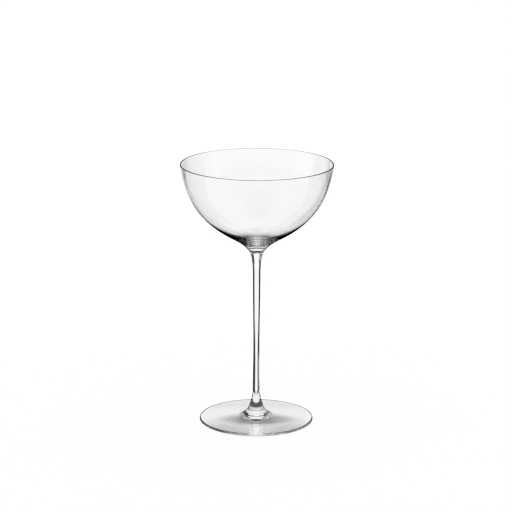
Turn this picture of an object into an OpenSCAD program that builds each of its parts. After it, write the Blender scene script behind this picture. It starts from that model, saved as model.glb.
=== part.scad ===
// Stemmed coupe glass: a blown bowl, a drawn stem and a spun foot, fused one on another.
// Each piece is a solid of revolution about Z. The glass stands on the plane z = 0.
// A "reach" is how far a curve keeps the direction it has at one of its ends.

/* [Bowl] */
// Outer diameter at the rim
rim_d = 100; // [80:1:120]
// Height of the bowl, from its joint with the stem to the rim
bowl_h = 59; // [49:0.5:71]
// Thickness of the wall, from the rim down to the round bottom
wall_t = 0.9; // [0.7:0.05:1.6]
// Outward lean of the wall at the rim, from upright, in degrees
rim_lean = 10; // [0:0.5:15]
// Reach of the rim's lean, down the wall
rim_reach = 21; // [14:0.5:26]
// Outer diameter at the shoulder, where the wall turns into the flare above the stem
shoulder_d = 31.6; // [26:0.2:38]
// Height of the shoulder above the joint
shoulder_h = 9.5; // [7.5:0.1:11.5]
// Slope of the wall at the shoulder, up from level, in degrees
shoulder_slope = 28.6; // [23:0.2:35]
// Reach of that slope, up the wall
shoulder_reach = 28.6; // [20:0.2:34]
// Reach of the shoulder's slope, down into the flare
flare_reach = 5.2; // [4:0.1:6.5]
// Thickness of the base, from the joint up to the middle of the round bottom
base_t = 6.7; // [5.5:0.1:8.5]
// Where the round bottom leaves the wall, as a share of the wall from the shoulder to the rim
bottom_share = 0.33; // [0.25:0.01:0.45]
// Reach of the wall's slope there, down into the round bottom
bottom_reach = 16.8; // [12:0.2:20]
// Reach of the level middle of the round bottom
middle_reach = 4.5; // [2:0.5:8]

/* [Stem] */
// Length of the stem between its two joints
stem_h = 107.5; // [86:0.5:130]
// Diameter of the joint between bowl and stem
bowl_joint_d = 9.3; // [7.5:0.1:11.2]
// Slope of the outline through that joint, up from level, in degrees
bowl_joint_slope = 62; // [52:0.5:72]
// Reach of that slope, up into the bowl and down into the stem
bowl_joint_reach = 4; // [2.5:0.1:5]
// Distance from that joint down to the neck, where the flare ends
neck_drop = 14.5; // [11:0.5:18]
// Diameter at the neck
neck_d = 5; // [4.2:0.1:6]
// Diameter at the waist, the thinnest place
waist_d = 4; // [3.2:0.1:5]
// Height of the waist above the joint with the foot
waist_rise = 42; // [32:0.5:52]
// Diameter at the ankle, where the lower flare starts
ankle_d = 4.7; // [4:0.1:6]
// Height of the ankle above the joint with the foot
ankle_rise = 13; // [10:0.5:16]
// Reach of the stem's upright direction, into both flares
stem_reach = 4; // [2.5:0.1:6]

/* [Foot] */
// Outer diameter of the foot
foot_d = 75; // [60:0.5:90]
// Height of the joint between foot and stem
foot_h = 7; // [5.8:0.1:8.6]
// Diameter of that joint
foot_joint_d = 12; // [10:0.1:14.5]
// Slope of the outline through that joint, up from level, in degrees
foot_joint_slope = 47; // [40:0.5:55]
// Reach of that slope, up into the stem and down into the hump
foot_joint_reach = 1.7; // [1.2:0.1:2.4]
// Diameter where the hump runs out into the plate
hump_d = 25; // [20:0.5:30]
// Height of the plate's upper face there
hump_h = 3; // [2.5:0.05:3.6]
// Reach of the plate's slope, in towards the hump
hump_reach = 4; // [3:0.5:5]
// Thickness of the foot's round edge
edge_t = 1.8; // [1.5:0.1:2.2]
// Width of the flat ring that the glass stands on
ring_w = 2.5; // [2:0.5:5]
// Height of the hollow under the middle of the foot
kick_h = 0.3; // [0.2:0.05:0.6]

/* [Hidden] */
$fn = 128;
glass_colour = [0.93, 0.95, 0.95, 0.35];

// Steps in one curve, in a short curve and in a rounded edge
curve_steps = 24;
flare_steps = 12;
edge_steps = 8;

// Heights of the two joints and of the rim
foot_joint_z = foot_h;
bowl_joint_z = foot_h + stem_h;
rim_z = bowl_joint_z + bowl_h;

// Radii and heights of the places that the outlines run through, as [radius, height]
rim_r = wall_t / 2;
rim_centre = [rim_d / 2 - rim_r, rim_z - rim_r];
rim_point = rim_centre + rim_r * [cos(rim_lean), -sin(rim_lean)];
shoulder = [shoulder_d / 2, bowl_joint_z + shoulder_h];
bowl_joint = [bowl_joint_d / 2, bowl_joint_z];
neck = [neck_d / 2, bowl_joint_z - neck_drop];
waist = [waist_d / 2, foot_joint_z + waist_rise];
ankle = [ankle_d / 2, foot_joint_z + ankle_rise];
foot_joint = [foot_joint_d / 2, foot_joint_z];
hump = [hump_d / 2, hump_h];
edge_r = edge_t / 2;
edge_centre = [foot_d / 2 - edge_r, edge_r];
plate_slope = atan2(hump_h - edge_t, edge_centre[0] - hump[0]);
ring_inner = edge_centre[0] - ring_w;

// Directions along the outline, each pointing upwards
rim_dir = [sin(rim_lean), cos(rim_lean)];
shoulder_dir = [cos(shoulder_slope), sin(shoulder_slope)];
bowl_joint_dir = [cos(bowl_joint_slope), sin(bowl_joint_slope)];
foot_joint_dir = [-cos(foot_joint_slope), sin(foot_joint_slope)];
plate_dir = [-cos(plate_slope), sin(plate_slope)];
upright = [0, 1];

// A point, and the direction of travel, at t on a cubic curve with ends a and d
function on_curve(a, b, c, d, t) =
    pow(1 - t, 3) * a + 3 * t * pow(1 - t, 2) * b + 3 * t * t * (1 - t) * c + pow(t, 3) * d;
function along_curve(a, b, c, d, t) =
    pow(1 - t, 2) * (b - a) + 2 * t * (1 - t) * (c - b) + t * t * (d - c);
// Points of that curve after its first
function curve(a, b, c, d, steps) = [for (i = [1:steps]) on_curve(a, b, c, d, i / steps)];
// Points of a smooth swell from p to q after its first, upright at both ends
function swell(p, q, steps) = [for (i = [1:steps])
    [p[0] + (q[0] - p[0]) * (1 - cos(180 * i / steps)) / 2, p[1] + (q[1] - p[1]) * i / steps]];
// Points of an arc about a centre, after its first, from one angle to another
function arc(centre, r, from, to, steps) = [for (i = [1:steps])
    centre + r * [cos(from + (to - from) * i / steps), sin(from + (to - from) * i / steps)]];
// The unit vector that points left of v, which is into the bowl on its rising outline
function left_of(v) = [-v[1], v[0]] / norm(v);

// Control points of the bowl's outer wall, from the shoulder up to the rim
wall_b = shoulder + shoulder_reach * shoulder_dir;
wall_c = rim_point - rim_reach * rim_dir;
// A point at t on the inner face of the wall
function inner_wall(t) = on_curve(shoulder, wall_b, wall_c, rim_point, t)
    + wall_t * left_of(along_curve(shoulder, wall_b, wall_c, rim_point, t));
// The round bottom closes the inside below the wall, level at the middle
bottom_edge = inner_wall(bottom_share);
bottom_along = along_curve(shoulder, wall_b, wall_c, rim_point, bottom_share);
bottom_dir = bottom_along / norm(bottom_along);
bottom_z = bowl_joint_z + base_t;

// Solid of revolution of an outline of [radius, height] points
module turned(outline) {
    color(glass_colour)
        rotate_extrude()
            polygon(outline);
}

module bowl() {
    flare = curve(bowl_joint, bowl_joint + bowl_joint_reach * bowl_joint_dir,
        shoulder - flare_reach * shoulder_dir, shoulder, flare_steps);
    wall = curve(shoulder, wall_b, wall_c, rim_point, curve_steps);
    rim = arc(rim_centre, rim_r, -rim_lean, 180 - rim_lean, edge_steps);
    inside = [for (i = [curve_steps - 1:-1:0])
        inner_wall(bottom_share + (1 - bottom_share) * i / curve_steps)];
    bottom = curve(bottom_edge, bottom_edge - bottom_reach * bottom_dir,
        [middle_reach, bottom_z], [0, bottom_z], curve_steps);
    turned(concat([[0, bowl_joint_z], bowl_joint], flare, wall, rim, inside, bottom));
}

module stem() {
    lower_flare = curve(foot_joint, foot_joint + foot_joint_reach * foot_joint_dir,
        ankle - stem_reach * upright, ankle, flare_steps);
    lower_shaft = swell(ankle, waist, flare_steps);
    upper_shaft = swell(waist, neck, flare_steps);
    upper_flare = curve(neck, neck + stem_reach * upright,
        bowl_joint - bowl_joint_reach * bowl_joint_dir, bowl_joint, flare_steps);
    turned(concat([[0, foot_joint_z], foot_joint], lower_flare, lower_shaft, upper_shaft,
        upper_flare, [[0, bowl_joint_z]]));
}

module foot() {
    kick = [for (i = [0:flare_steps])
        [ring_inner * i / flare_steps, kick_h * (1 + cos(180 * i / flare_steps)) / 2]];
    edge = arc(edge_centre, edge_r, -90, 90 - plate_slope, edge_steps);
    rise = curve(hump, hump + hump_reach * plate_dir,
        foot_joint - foot_joint_reach * foot_joint_dir, foot_joint, flare_steps);
    turned(concat(kick, [[edge_centre[0], 0]], edge, [hump], rise, [[0, foot_joint_z]]));
}

bowl();
stem();
foot();
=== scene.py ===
"""Stemmed coupe glass in clear glass: turned bowl, stem and foot on a white studio floor."""

import math

import bpy
from mathutils import Matrix, Vector


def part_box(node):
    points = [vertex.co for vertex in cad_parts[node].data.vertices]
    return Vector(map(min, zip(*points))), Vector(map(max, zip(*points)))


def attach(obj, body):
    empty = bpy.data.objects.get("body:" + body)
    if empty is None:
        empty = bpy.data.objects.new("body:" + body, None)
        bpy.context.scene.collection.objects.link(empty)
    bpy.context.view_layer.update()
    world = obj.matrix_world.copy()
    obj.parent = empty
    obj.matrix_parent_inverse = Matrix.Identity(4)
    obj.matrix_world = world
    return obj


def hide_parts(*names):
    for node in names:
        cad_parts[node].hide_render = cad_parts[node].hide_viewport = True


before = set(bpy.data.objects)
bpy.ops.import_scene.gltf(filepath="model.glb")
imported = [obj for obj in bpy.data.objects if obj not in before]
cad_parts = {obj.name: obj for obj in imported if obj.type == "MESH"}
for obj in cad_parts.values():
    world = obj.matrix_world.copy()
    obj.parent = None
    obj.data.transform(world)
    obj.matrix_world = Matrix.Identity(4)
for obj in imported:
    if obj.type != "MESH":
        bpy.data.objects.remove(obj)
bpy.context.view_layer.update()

MM = 0.001

# Sizes that the frame gives, in metres
_, bowl_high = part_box("bowl")
stem_low, stem_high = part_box("stem")
_, foot_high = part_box("foot")
RIM_RADIUS = bowl_high.x
RIM_Z = bowl_high.z
BOWL_JOINT_Z = stem_high.z
FOOT_JOINT_Z = stem_low.z
FOOT_JOINT_RADIUS = stem_high.x
FOOT_RADIUS = foot_high.x

# Sizes of the outline, as the CAD pieces have them
WALL = 0.9 * MM
RIM_LEAN = math.radians(10)
RIM_REACH = 21 * MM
SHOULDER_RADIUS = 15.8 * MM
SHOULDER_RISE = 9.5 * MM
SHOULDER_SLOPE = math.radians(28.6)
SHOULDER_REACH = 28.6 * MM
FLARE_REACH = 5.2 * MM
BASE = 6.7 * MM
BOTTOM_SHARE = 0.33
BOTTOM_REACH = 16.8 * MM
MIDDLE_REACH = 4.5 * MM
BOWL_JOINT_RADIUS = 4.65 * MM
BOWL_JOINT_SLOPE = math.radians(62)
BOWL_JOINT_REACH = 4 * MM
NECK_DROP = 14.5 * MM
NECK_RADIUS = 2.5 * MM
WAIST_RISE = 42 * MM
WAIST_RADIUS = 2 * MM
ANKLE_RISE = 13 * MM
ANKLE_RADIUS = 2.35 * MM
STEM_REACH = 4 * MM
FOOT_JOINT_SLOPE = math.radians(47)
FOOT_JOINT_REACH = 1.7 * MM
HUMP_RADIUS = 12.5 * MM
HUMP_HEIGHT = 3 * MM
HUMP_REACH = 4 * MM
EDGE_RADIUS = 0.9 * MM
RING_WIDTH = 2.5 * MM
KICK_HEIGHT = 0.3 * MM

# Fineness of the turned meshes
TURN_STEPS = 400
LONG_STEPS = 64
SHORT_STEPS = 32
EDGE_STEPS = 16

# Waves of hand work in the glass, with their number in a metre along X, Y and Z on each piece
BOWL_WAVES = (60, 60, 25)
STEM_WAVES = (400, 400, 30)
FOOT_WAVES = (80, 80, 80)
WAVE_DETAIL = 2
WAVE_ROUGHNESS = 0.4
WAVE_DEPTH = 0.001 * MM

# Rings that spinning left in the foot
RING_SCALE = 60
RING_DISTORTION = 1.5
RING_DEPTH = 0.003 * MM

# Polish, tint and refraction of the glass, and the tint of the light that it lets through to the floor
DULLEST = 0.01
DEEPEST_TINT = (0.985, 0.985, 0.985, 1)
CLEAREST_TINT = (1, 1, 1, 1)
GLASS_IOR = 1.5
SHADOW_TINT = (0.94, 0.94, 0.94, 1)

# Material slots of a turned piece
GLASS, JOINT = 0, 1

# A point of an outline nearer to the axis than this lies on it
ON_AXIS = 0.000001 * MM


def direction(angle):
    """Unit vector at an angle above level, as radius and height."""
    return Vector((math.cos(angle), math.sin(angle)))


def curve(a, b, c, d, steps, start=0):
    """Points and tangents of the cubic curve from a to d, from a share of its way onwards."""
    out = []
    for i in range(steps + 1):
        t = start + (1 - start) * i / steps
        s = 1 - t
        point = s**3 * a + 3 * t * s * s * b + 3 * t * t * s * c + t**3 * d
        tangent = s * s * (b - a) + 2 * t * s * (c - b) + t * t * (d - c)
        out.append((point, tangent.normalized()))
    return out


def swell(p, q, steps):
    """Points and tangents of a smooth change of radius from p to q, upright at both ends."""
    out = []
    for i in range(steps + 1):
        t = i / steps
        radius = p.x + (q.x - p.x) * (1 - math.cos(math.pi * t)) / 2
        widening = (q.x - p.x) * math.pi * math.sin(math.pi * t) / 2
        point = Vector((radius, p.y + (q.y - p.y) * t))
        out.append((point, Vector((widening, q.y - p.y)).normalized()))
    return out


def arc(centre, radius, start, end, steps):
    """Points and tangents of an arc that turns left from one angle to another."""
    out = []
    for i in range(steps + 1):
        angle = start + (end - start) * i / steps
        out.append((centre + radius * direction(angle), direction(angle + math.pi / 2)))
    return out


def straight(p, q):
    """The two ends of a straight stretch, with its tangent."""
    tangent = (q - p).normalized()
    return [(p, tangent), (q, tangent)]


def left_of(v):
    return Vector((-v.y, v.x))


def turned(name, stretches):
    """Closed mesh of the outline that the stretches make, turned about Z. Each stretch is a list of
    points and tangents with the solid on its left, and the material slot that it takes."""
    turn = [2 * math.pi * k / TURN_STEPS for k in range(TURN_STEPS)]
    spokes = [(math.cos(a), math.sin(a)) for a in turn]
    verts, faces, normals, slots = [], [], [], []

    def ring(point):
        """Vertex numbers of one turn of a point, or of the one vertex on the axis."""
        first = len(verts)
        if point.x < ON_AXIS:
            verts.append((0, 0, point.y))
            return [first] * TURN_STEPS
        verts.extend((point.x * x, point.x * y, point.y) for x, y in spokes)
        return list(range(first, first + TURN_STEPS))

    def outward(tangent, k):
        x, y = spokes[k % TURN_STEPS]
        return (tangent.y * x, tangent.y * y, -tangent.x)

    last_ring = ring(stretches[0][0][0][0])
    for points, slot in stretches:
        for step in range(1, len(points)):
            new_ring = ring(points[step][0])
            low, high = points[step - 1][1], points[step][1]
            for k in range(TURN_STEPS):
                n = (k + 1) % TURN_STEPS
                corners = [
                    (last_ring[k], outward(low, k)),
                    (last_ring[n], outward(low, k + 1)),
                    (new_ring[n], outward(high, k + 1)),
                    (new_ring[k], outward(high, k)),
                ]
                if last_ring[k] == last_ring[n]:
                    del corners[1]
                elif new_ring[k] == new_ring[n]:
                    del corners[2]
                faces.append([vertex for vertex, _ in corners])
                normals.extend(normal for _, normal in corners)
                slots.append(slot)
            last_ring = new_ring
    mesh = bpy.data.meshes.new(name)
    mesh.from_pydata(verts, [], faces)
    mesh.polygons.foreach_set("material_index", slots)
    mesh.polygons.foreach_set("use_smooth", [True] * len(faces))
    mesh.normals_split_custom_set(normals)
    piece = bpy.data.objects.new(name, mesh)
    bpy.context.scene.collection.objects.link(piece)
    return piece


# Places that the outlines run through, as radius and height
rim_r = WALL / 2
rim_centre = Vector((RIM_RADIUS - rim_r, RIM_Z - rim_r))
rim_point = rim_centre + rim_r * direction(-RIM_LEAN)
shoulder = Vector((SHOULDER_RADIUS, BOWL_JOINT_Z + SHOULDER_RISE))
bowl_joint = Vector((BOWL_JOINT_RADIUS, BOWL_JOINT_Z))
neck = Vector((NECK_RADIUS, BOWL_JOINT_Z - NECK_DROP))
waist = Vector((WAIST_RADIUS, FOOT_JOINT_Z + WAIST_RISE))
ankle = Vector((ANKLE_RADIUS, FOOT_JOINT_Z + ANKLE_RISE))
foot_joint = Vector((FOOT_JOINT_RADIUS, FOOT_JOINT_Z))
hump = Vector((HUMP_RADIUS, HUMP_HEIGHT))
edge_centre = Vector((FOOT_RADIUS - EDGE_RADIUS, EDGE_RADIUS))
plate_slope = math.atan2(HUMP_HEIGHT - 2 * EDGE_RADIUS, edge_centre.x - hump.x)
ring_inner = edge_centre.x - RING_WIDTH

# Directions along the outlines
rim_dir = direction(math.pi / 2 - RIM_LEAN)
shoulder_dir = direction(SHOULDER_SLOPE)
bowl_joint_dir = direction(BOWL_JOINT_SLOPE)
foot_joint_dir = direction(math.pi - FOOT_JOINT_SLOPE)
plate_dir = direction(math.pi - plate_slope)
UPRIGHT = Vector((0, 1))


def make_bowl():
    flare = curve(
        bowl_joint,
        bowl_joint + BOWL_JOINT_REACH * bowl_joint_dir,
        shoulder - FLARE_REACH * shoulder_dir,
        shoulder,
        SHORT_STEPS,
    )
    way = (
        shoulder,
        shoulder + SHOULDER_REACH * shoulder_dir,
        rim_point - RIM_REACH * rim_dir,
        rim_point,
    )
    wall = curve(*way, LONG_STEPS)
    rim = arc(rim_centre, rim_r, -RIM_LEAN, math.pi - RIM_LEAN, EDGE_STEPS)
    inside = []
    for point, tangent in reversed(curve(*way, LONG_STEPS, start=BOTTOM_SHARE)):
        inside.append((point + WALL * left_of(tangent), -tangent))
    bottom_edge, bottom_dir = inside[-1]
    bottom_z = BOWL_JOINT_Z + BASE
    bottom = curve(
        bottom_edge,
        bottom_edge + BOTTOM_REACH * bottom_dir,
        Vector((MIDDLE_REACH, bottom_z)),
        Vector((0, bottom_z)),
        LONG_STEPS,
    )
    underside = straight(Vector((0, BOWL_JOINT_Z)), bowl_joint)
    return turned(
        "bowl_glass",
        [
            (underside, JOINT),
            (flare, GLASS),
            (wall, GLASS),
            (rim, GLASS),
            (inside, GLASS),
            (bottom, GLASS),
        ],
    )


def make_stem():
    lower_flare = curve(
        foot_joint,
        foot_joint + FOOT_JOINT_REACH * foot_joint_dir,
        ankle - STEM_REACH * UPRIGHT,
        ankle,
        SHORT_STEPS,
    )
    upper_flare = curve(
        neck,
        neck + STEM_REACH * UPRIGHT,
        bowl_joint - BOWL_JOINT_REACH * bowl_joint_dir,
        bowl_joint,
        SHORT_STEPS,
    )
    return turned(
        "stem_glass",
        [
            (straight(Vector((0, FOOT_JOINT_Z)), foot_joint), JOINT),
            (lower_flare, GLASS),
            (swell(ankle, waist, SHORT_STEPS), GLASS),
            (swell(waist, neck, SHORT_STEPS), GLASS),
            (upper_flare, GLASS),
            (straight(bowl_joint, Vector((0, BOWL_JOINT_Z))), JOINT),
        ],
    )


def make_foot():
    kick = []
    for i in range(SHORT_STEPS + 1):
        t = i / SHORT_STEPS
        point = Vector((ring_inner * t, KICK_HEIGHT * (1 + math.cos(math.pi * t)) / 2))
        fall = -KICK_HEIGHT * math.pi * math.sin(math.pi * t) / 2
        kick.append((point, Vector((ring_inner, fall)).normalized()))
    edge_foot = Vector((edge_centre.x, 0))
    edge = arc(edge_centre, EDGE_RADIUS, -math.pi / 2, math.pi / 2 - plate_slope, EDGE_STEPS)
    rise = curve(
        hump,
        hump + HUMP_REACH * plate_dir,
        foot_joint - FOOT_JOINT_REACH * foot_joint_dir,
        foot_joint,
        SHORT_STEPS,
    )
    return turned(
        "foot_glass",
        [
            (kick, GLASS),
            (straight(Vector((ring_inner, 0)), edge_foot), GLASS),
            (edge, GLASS),
            (straight(edge[-1][0], hump), GLASS),
            (rise, GLASS),
            (straight(foot_joint, Vector((0, FOOT_JOINT_Z))), JOINT),
        ],
    )


def new_material(name):
    material = bpy.data.materials.new(name)
    material.use_nodes = True
    material.node_tree.nodes.clear()
    return material, material.node_tree.nodes, material.node_tree.links


def glass_material(name, stretch, ring_depth):
    """Clear glass with the faint waves of hand work. The stretch scales the waves along X, Y and Z,
    and rings of the given depth run round the axis where the piece was spun."""
    material, nodes, links = new_material(name)
    place = nodes.new("ShaderNodeTexCoord")
    scaled = nodes.new("ShaderNodeMapping")
    scaled.inputs["Scale"].default_value = stretch
    links.new(place.outputs["Object"], scaled.inputs["Vector"])
    waves = nodes.new("ShaderNodeTexNoise")
    waves.inputs["Scale"].default_value = 1
    waves.inputs["Detail"].default_value = WAVE_DETAIL
    waves.inputs["Roughness"].default_value = WAVE_ROUGHNESS
    links.new(scaled.outputs["Vector"], waves.inputs["Vector"])
    rings = nodes.new("ShaderNodeTexWave")
    rings.wave_type = "RINGS"
    rings.rings_direction = "Z"
    rings.inputs["Scale"].default_value = RING_SCALE
    rings.inputs["Distortion"].default_value = RING_DISTORTION
    rings.inputs["Detail Scale"].default_value = 1
    links.new(place.outputs["Object"], rings.inputs["Vector"])
    wavy = nodes.new("ShaderNodeBump")
    wavy.inputs["Strength"].default_value = 1
    wavy.inputs["Distance"].default_value = WAVE_DEPTH
    links.new(waves.outputs["Fac"], wavy.inputs["Height"])
    ringed = nodes.new("ShaderNodeBump")
    ringed.inputs["Strength"].default_value = 1
    ringed.inputs["Distance"].default_value = ring_depth
    links.new(rings.outputs["Fac"], ringed.inputs["Height"])
    links.new(wavy.outputs["Normal"], ringed.inputs["Normal"])
    polish = nodes.new("ShaderNodeMapRange")
    polish.inputs["To Min"].default_value = 0
    polish.inputs["To Max"].default_value = DULLEST
    links.new(waves.outputs["Fac"], polish.inputs["Value"])
    tint = nodes.new("ShaderNodeMix")
    tint.data_type = "RGBA"
    tint.inputs["A"].default_value = DEEPEST_TINT
    tint.inputs["B"].default_value = CLEAREST_TINT
    links.new(waves.outputs["Fac"], tint.inputs["Factor"])
    shader = nodes.new("ShaderNodeBsdfPrincipled")
    shader.inputs["Transmission Weight"].default_value = 1
    shader.inputs["IOR"].default_value = GLASS_IOR
    links.new(tint.outputs["Result"], shader.inputs["Base Color"])
    links.new(polish.outputs["Result"], shader.inputs["Roughness"])
    links.new(ringed.outputs["Normal"], shader.inputs["Normal"])
    path = nodes.new("ShaderNodeLightPath")
    from_floor = nodes.new("ShaderNodeMath")
    from_floor.operation = "MAXIMUM"
    links.new(path.outputs["Is Shadow Ray"], from_floor.inputs[0])
    links.new(path.outputs["Is Diffuse Ray"], from_floor.inputs[1])
    passing = nodes.new("ShaderNodeBsdfTransparent")
    passing.inputs["Color"].default_value = SHADOW_TINT
    mix = nodes.new("ShaderNodeMixShader")
    links.new(from_floor.outputs[0], mix.inputs["Fac"])
    links.new(shader.outputs["BSDF"], mix.inputs[1])
    links.new(passing.outputs["BSDF"], mix.inputs[2])
    out = nodes.new("ShaderNodeOutputMaterial")
    links.new(mix.outputs["Shader"], out.inputs["Surface"])
    return material


def joint_material():
    """The fused joint between two pieces, where the glass runs on unbroken."""
    material, nodes, links = new_material("fused_joint")
    out = nodes.new("ShaderNodeOutputMaterial")
    clear = nodes.new("ShaderNodeBsdfTransparent")
    links.new(clear.outputs["BSDF"], out.inputs["Surface"])
    return material


bowl, stem, foot = make_bowl(), make_stem(), make_foot()
fused = joint_material()
for piece, node, stretch, ring_depth in (
    (bowl, "bowl", BOWL_WAVES, 0),
    (stem, "stem", STEM_WAVES, 0),
    (foot, "foot", FOOT_WAVES, RING_DEPTH),
):
    piece.data.materials.append(glass_material(f"{node}_clear_glass", stretch, ring_depth))
    piece.data.materials.append(fused)
    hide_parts(node)
    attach(piece, "root")

# Camera, as the photograph's perspective gives it
CAMERA_PLACE = (-0.47 * MM, -1500.2 * MM, 496.1 * MM)
CAMERA_PITCH = math.radians(75.631)
CAMERA_ROLL = math.radians(0.2)
SENSOR_WIDTH = 36
FOCAL_LENGTH = 166.4
camera = bpy.data.objects.new("camera", bpy.data.cameras.new("camera"))
bpy.context.scene.collection.objects.link(camera)
camera.location = CAMERA_PLACE
aim = Matrix.Rotation(CAMERA_PITCH, 3, "X") @ Matrix.Rotation(CAMERA_ROLL, 3, "Z")
camera.rotation_euler = aim.to_euler()
camera.data.sensor_width = SENSOR_WIDTH
camera.data.lens = FOCAL_LENGTH
bpy.context.scene.camera = camera

# Width of the picture's pixel filter, for lines as crisp as a lens draws them
PIXEL_FILTER = 1.2

# Studio. The glass stands on a pale floor, in two tents of soft panels that only the glass sees:
# one through itself, one mirrored in its surface. The tents stay still when the camera moves.
FLOOR_SIZE = 12
FLOOR_Z = -0.05 * MM
FLOOR_COLOUR = (0.95, 0.95, 0.95, 1)
TENT_RADIUS = 20
TENT_CENTRE = (0, 0, 0.1)
TENT_ROWS = 32
TENT_COLUMNS = 64
SUN_STRENGTH = 0.25
SUN_ANGLE = math.radians(60)
SUN_TURN = (math.radians(-30), math.radians(30), 0)

# Panels of the tents. Each is a level, its left and right end round the glass with their softness,
# its lower end with its softness and its upper end with its softness. Angles are in degrees: round
# the glass, 0 is +Y, away from the photograph's camera, and + is to its right.
ALL_ROUND = (-300, 300, 2)
SEEN_THROUGH = {
    "window": (0.99, -20, 16, 10, -19, 6, 12, 10),
    "tall window": (0.99, -11, 11, 8, -36, 36, 12, 10),
    "low wide window": (0.92, -27, 26, 6, -15.8, 2, -7, 4),
    "wide window": (0.92, -22, 21, 6, -7, 4, 20, 4),
    "top of the window": (1.0, -8, 7, 5, 8, 4, 25, 4),
    "top light": (0.92, -36, 33, 17, 27, 7, 56, 7),
    "left wing": (0.45, -62, -30, 16, -3, 6, 8, 6),
    "left fill": (0.20, -62, -30, 16, 6, 6, 34, 8),
    "room": (0.92, 105, 280, 14, -36, 16, 16, 16),
    "floor on the left": (0.92, -125, -36, 8, -80, 6, -18, 2),
    "floor at the front left": (0.92, -150, -80, 44, -80, 6, -20, 4),
    "floor on the right": (0.92, 50, 125, 12, -80, 6, -24, 6),
    "floor at the front right": (0.92, 90, 150, 44, -80, 6, -20, 4),
    "floor below": (0.92, *ALL_ROUND, -92, 2, -76, 6),
    "floor behind": (0.45, -60, 60, 20, -80, 6, -46, 10),
}
MIRRORED = {
    "high sky": (0.95, *ALL_ROUND, 26, 8, 89, 8),
    "low sky": (0.50, *ALL_ROUND, 4, 8, 40, 8),
    "low sky on the left": (0.95, -120, -30, 24, 4, 8, 40, 8),
    "low sky on the right": (0.95, 30, 120, 24, 4, 8, 40, 8),
    "floor on the left": (0.95, -120, -18, 8, -89, 3, -19, 2),
    "floor on the right": (0.85, 17, 120, 8, -89, 3, -20, 2),
    "far strip": (0.35, -28, -4, 8, -20, 3, -8, 4),
    "floor at the front": (0.90, 110, 250, 20, -89, 3, -20, 3),
}

# Floor under the foot, as the glass shows it: a glowing disc of painted floor light, darker towards
# the front, with painted shadows of the hump and of the stem. A shade is its level in the middle, then
# the radii where it starts and ends. The front and back are a level and its place along Y.
UNDER_FOOT_Z = -0.03 * MM
DISC_SPOKES = 64
EVEN = (1, 1, 1)
# Painted shadow of the hump, in front of it
SHADE_CENTRE = (1 * MM, -7 * MM, 0)
SHADE_STRETCH = (0.45, 1, 1)
SHADE = (0.2, 5 * MM, 15 * MM)
# Painted shadow of the stem, a dark spot near the middle
PAINTED_STEM_SHADOW_CENTRE = (0, 4 * MM, 0)
PAINTED_STEM_SHADOW = (0.1, 4.5 * MM, 10 * MM)
FRONT = (0.88, -30 * MM)
BACK = (0.95, 10 * MM)
FADE_CENTRE = (0, -2 * MM, 0)
FADE = (0, 30 * MM, 37 * MM)

# Most times that light may turn in the glass
BOUNCES = 24
MIRROR_BOUNCES = 16
THROUGH_BOUNCES = 24
JOINT_PASSES = 32


def sheet(name, corners, faces):
    mesh = bpy.data.meshes.new(name)
    mesh.from_pydata(corners, [], faces)
    obj = bpy.data.objects.new(name, mesh)
    bpy.context.scene.collection.objects.link(obj)
    return obj


def floor_material():
    material, nodes, links = new_material("studio_floor")
    out = nodes.new("ShaderNodeOutputMaterial")
    paper = nodes.new("ShaderNodeBsdfDiffuse")
    paper.inputs["Color"].default_value = FLOOR_COLOUR
    links.new(paper.outputs["BSDF"], out.inputs["Surface"])
    return material


def tent_material(name, panels):
    """Light of the brightest panel in each direction from the middle of the tent."""
    material, nodes, links = new_material(name)

    def math_node(operation, *values):
        node = nodes.new("ShaderNodeMath")
        node.operation = operation
        for socket, value in zip(node.inputs, values):
            if isinstance(value, (int, float)):
                socket.default_value = value
            else:
                links.new(value, socket)
        return node.outputs[0]

    def step(value, at, softness, low, high):
        node = nodes.new("ShaderNodeMapRange")
        node.interpolation_type = "SMOOTHSTEP"
        links.new(value, node.inputs["Value"])
        node.inputs["From Min"].default_value = math.radians(at - softness / 2)
        node.inputs["From Max"].default_value = math.radians(at + softness / 2)
        node.inputs["To Min"].default_value = low
        node.inputs["To Max"].default_value = high
        return node.outputs["Result"]

    place = nodes.new("ShaderNodeTexCoord")
    unit = nodes.new("ShaderNodeVectorMath")
    unit.operation = "NORMALIZE"
    links.new(place.outputs["Object"], unit.inputs[0])
    axes = nodes.new("ShaderNodeSeparateXYZ")
    links.new(unit.outputs["Vector"], axes.inputs[0])
    round_glass = math_node("ARCTAN2", axes.outputs["X"], axes.outputs["Y"])
    round_front = math_node("WRAP", round_glass, 2 * math.pi, 0)
    above = math_node("ARCSINE", axes.outputs["Z"])
    brightest = None
    for level, left, right, soft_round, low, soft_low, high, soft_high in panels.values():
        turn = round_front if left > 0 and right > 180 else round_glass
        light = step(turn, left, soft_round, 0, level)
        light = math_node("MULTIPLY", light, step(turn, right, soft_round, 1, 0))
        light = math_node("MULTIPLY", light, step(above, low, soft_low, 0, 1))
        light = math_node("MULTIPLY", light, step(above, high, soft_high, 1, 0))
        brightest = light if brightest is None else math_node("MAXIMUM", brightest, light)
    glow = nodes.new("ShaderNodeEmission")
    links.new(brightest, glow.inputs["Strength"])
    out = nodes.new("ShaderNodeOutputMaterial")
    links.new(glow.outputs["Emission"], out.inputs["Surface"])
    material.cycles.emission_sampling = "NONE"
    return material


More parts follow.
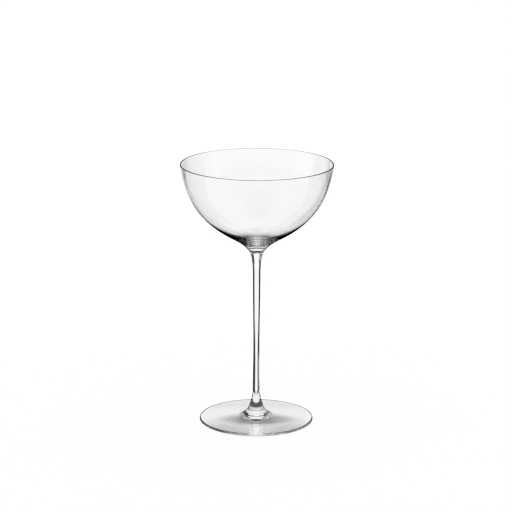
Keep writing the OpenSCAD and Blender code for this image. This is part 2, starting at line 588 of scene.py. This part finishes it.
def under_foot_material():
    """The floor under the foot as the glass shows it: a glowing disc of painted floor light, with the
    painted shade of the hump and of the stem.
    """
    material, nodes, links = new_material("floor_under_foot")
    place = nodes.new("ShaderNodeTexCoord").outputs["Object"]

    def ramp(value, start, end, low, high):
        node = nodes.new("ShaderNodeMapRange")
        node.interpolation_type = "SMOOTHSTEP"
        links.new(value, node.inputs["Value"])
        node.inputs["From Min"].default_value = start
        node.inputs["From Max"].default_value = end
        node.inputs["To Min"].default_value = low
        node.inputs["To Max"].default_value = high
        return node.outputs["Result"]

    def shade(centre, stretch, depth, inner, outer):
        offset = nodes.new("ShaderNodeVectorMath")
        offset.operation = "SUBTRACT"
        offset.inputs[1].default_value = centre
        links.new(place, offset.inputs[0])
        scaled = nodes.new("ShaderNodeVectorMath")
        scaled.operation = "MULTIPLY"
        scaled.inputs[1].default_value = stretch
        links.new(offset.outputs["Vector"], scaled.inputs[0])
        length = nodes.new("ShaderNodeVectorMath")
        length.operation = "LENGTH"
        links.new(scaled.outputs["Vector"], length.inputs[0])
        return ramp(length.outputs["Value"], inner, outer, depth, 1)

    axes = nodes.new("ShaderNodeSeparateXYZ")
    links.new(place, axes.inputs[0])
    light = ramp(axes.outputs["Y"], FRONT[1], BACK[1], FRONT[0], BACK[0])
    # Painted shadows of the hump and of the stem darken the painted floor light
    for dark in (shade(SHADE_CENTRE, SHADE_STRETCH, *SHADE), shade(PAINTED_STEM_SHADOW_CENTRE, EVEN, *PAINTED_STEM_SHADOW)):
        product = nodes.new("ShaderNodeMath")
        product.operation = "MULTIPLY"
        links.new(light, product.inputs[0])
        links.new(dark, product.inputs[1])
        light = product.outputs[0]
    # The disc glows with this painted floor light, though it is no lamp
    glow = nodes.new("ShaderNodeEmission")
    links.new(light, glow.inputs["Strength"])
    clear = nodes.new("ShaderNodeBsdfTransparent")
    fade = nodes.new("ShaderNodeMixShader")
    links.new(shade(FADE_CENTRE, EVEN, *FADE), fade.inputs["Fac"])
    links.new(glow.outputs["Emission"], fade.inputs[1])
    links.new(clear.outputs["BSDF"], fade.inputs[2])
    out = nodes.new("ShaderNodeOutputMaterial")
    links.new(fade.outputs["Shader"], out.inputs["Surface"])
    material.cycles.emission_sampling = "NONE"
    return material


def for_glass_only(obj, mirrored):
    """Hides a stage object from all but the glass, which sees it through itself or mirrored."""
    obj.visible_camera = False
    obj.visible_diffuse = False
    obj.visible_shadow = False
    obj.visible_volume_scatter = False
    obj.visible_glossy = mirrored
    obj.visible_transmission = not mirrored


def tent(name, panels, mirrored):
    """A tent that only the glass sees, either through itself or mirrored in its surface."""
    rows, columns = TENT_ROWS, TENT_COLUMNS
    corners, faces = [(0, 0, TENT_RADIUS), (0, 0, -TENT_RADIUS)], []
    for row in range(1, rows):
        down = math.pi * row / rows
        for column in range(columns):
            turn = 2 * math.pi * column / columns
            wide = TENT_RADIUS * math.sin(down)
            high = TENT_RADIUS * math.cos(down)
            corners.append((wide * math.cos(turn), wide * math.sin(turn), high))
    for column in range(columns):
        near, far = 2 + column, 2 + (column + 1) % columns
        faces.append((0, near, far))
        for _ in range(rows - 2):
            faces.append((near, near + columns, far + columns, far))
            near, far = near + columns, far + columns
        faces.append((near, 1, far))
    obj = sheet(name, corners, faces)
    obj.data.materials.append(tent_material(name, panels))
    obj.location = TENT_CENTRE
    for_glass_only(obj, mirrored)


half = FLOOR_SIZE / 2
floor = sheet(
    "floor",
    [(x, y, FLOOR_Z) for x, y in ((-half, -half), (half, -half), (half, half), (-half, half))],
    [(0, 1, 2, 3)],
)
floor.data.materials.append(floor_material())
floor.visible_glossy = False
floor.visible_transmission = False
spokes = [2 * math.pi * k / DISC_SPOKES for k in range(DISC_SPOKES)]
under_foot = sheet(
    "floor_under_foot",
    [(FOOT_RADIUS * math.cos(a), FOOT_RADIUS * math.sin(a), 0) for a in spokes],
    [list(range(DISC_SPOKES))],
)
under_foot.location.z = UNDER_FOOT_Z
under_foot.data.materials.append(under_foot_material())
for_glass_only(under_foot, False)
tent("tent_seen_through", SEEN_THROUGH, False)
tent("tent_mirrored", MIRRORED, True)

# White surroundings for the camera and for the light on the floor
world = bpy.data.worlds.new("studio_world")
bpy.context.scene.world = world
world.use_nodes = True
world.node_tree.nodes.clear()
world_out = world.node_tree.nodes.new("ShaderNodeOutputWorld")
white = world.node_tree.nodes.new("ShaderNodeBackground")
white.inputs["Color"].default_value = (1, 1, 1, 1)
world.node_tree.links.new(white.outputs["Background"], world_out.inputs["Surface"])

sun_data = bpy.data.lights.new("soft_sun", "SUN")
sun_data.energy = SUN_STRENGTH
sun_data.angle = SUN_ANGLE
sun = bpy.data.objects.new("soft_sun", sun_data)
sun.rotation_euler = SUN_TURN
bpy.context.scene.collection.objects.link(sun)

scene = bpy.context.scene
scene.view_settings.view_transform = "Standard"
scene.cycles.filter_width = PIXEL_FILTER
scene.cycles.max_bounces = BOUNCES
scene.cycles.blur_glossy = 0
scene.cycles.glossy_bounces = MIRROR_BOUNCES
scene.cycles.transmission_bounces = THROUGH_BOUNCES
scene.cycles.transparent_max_bounces = JOINT_PASSES
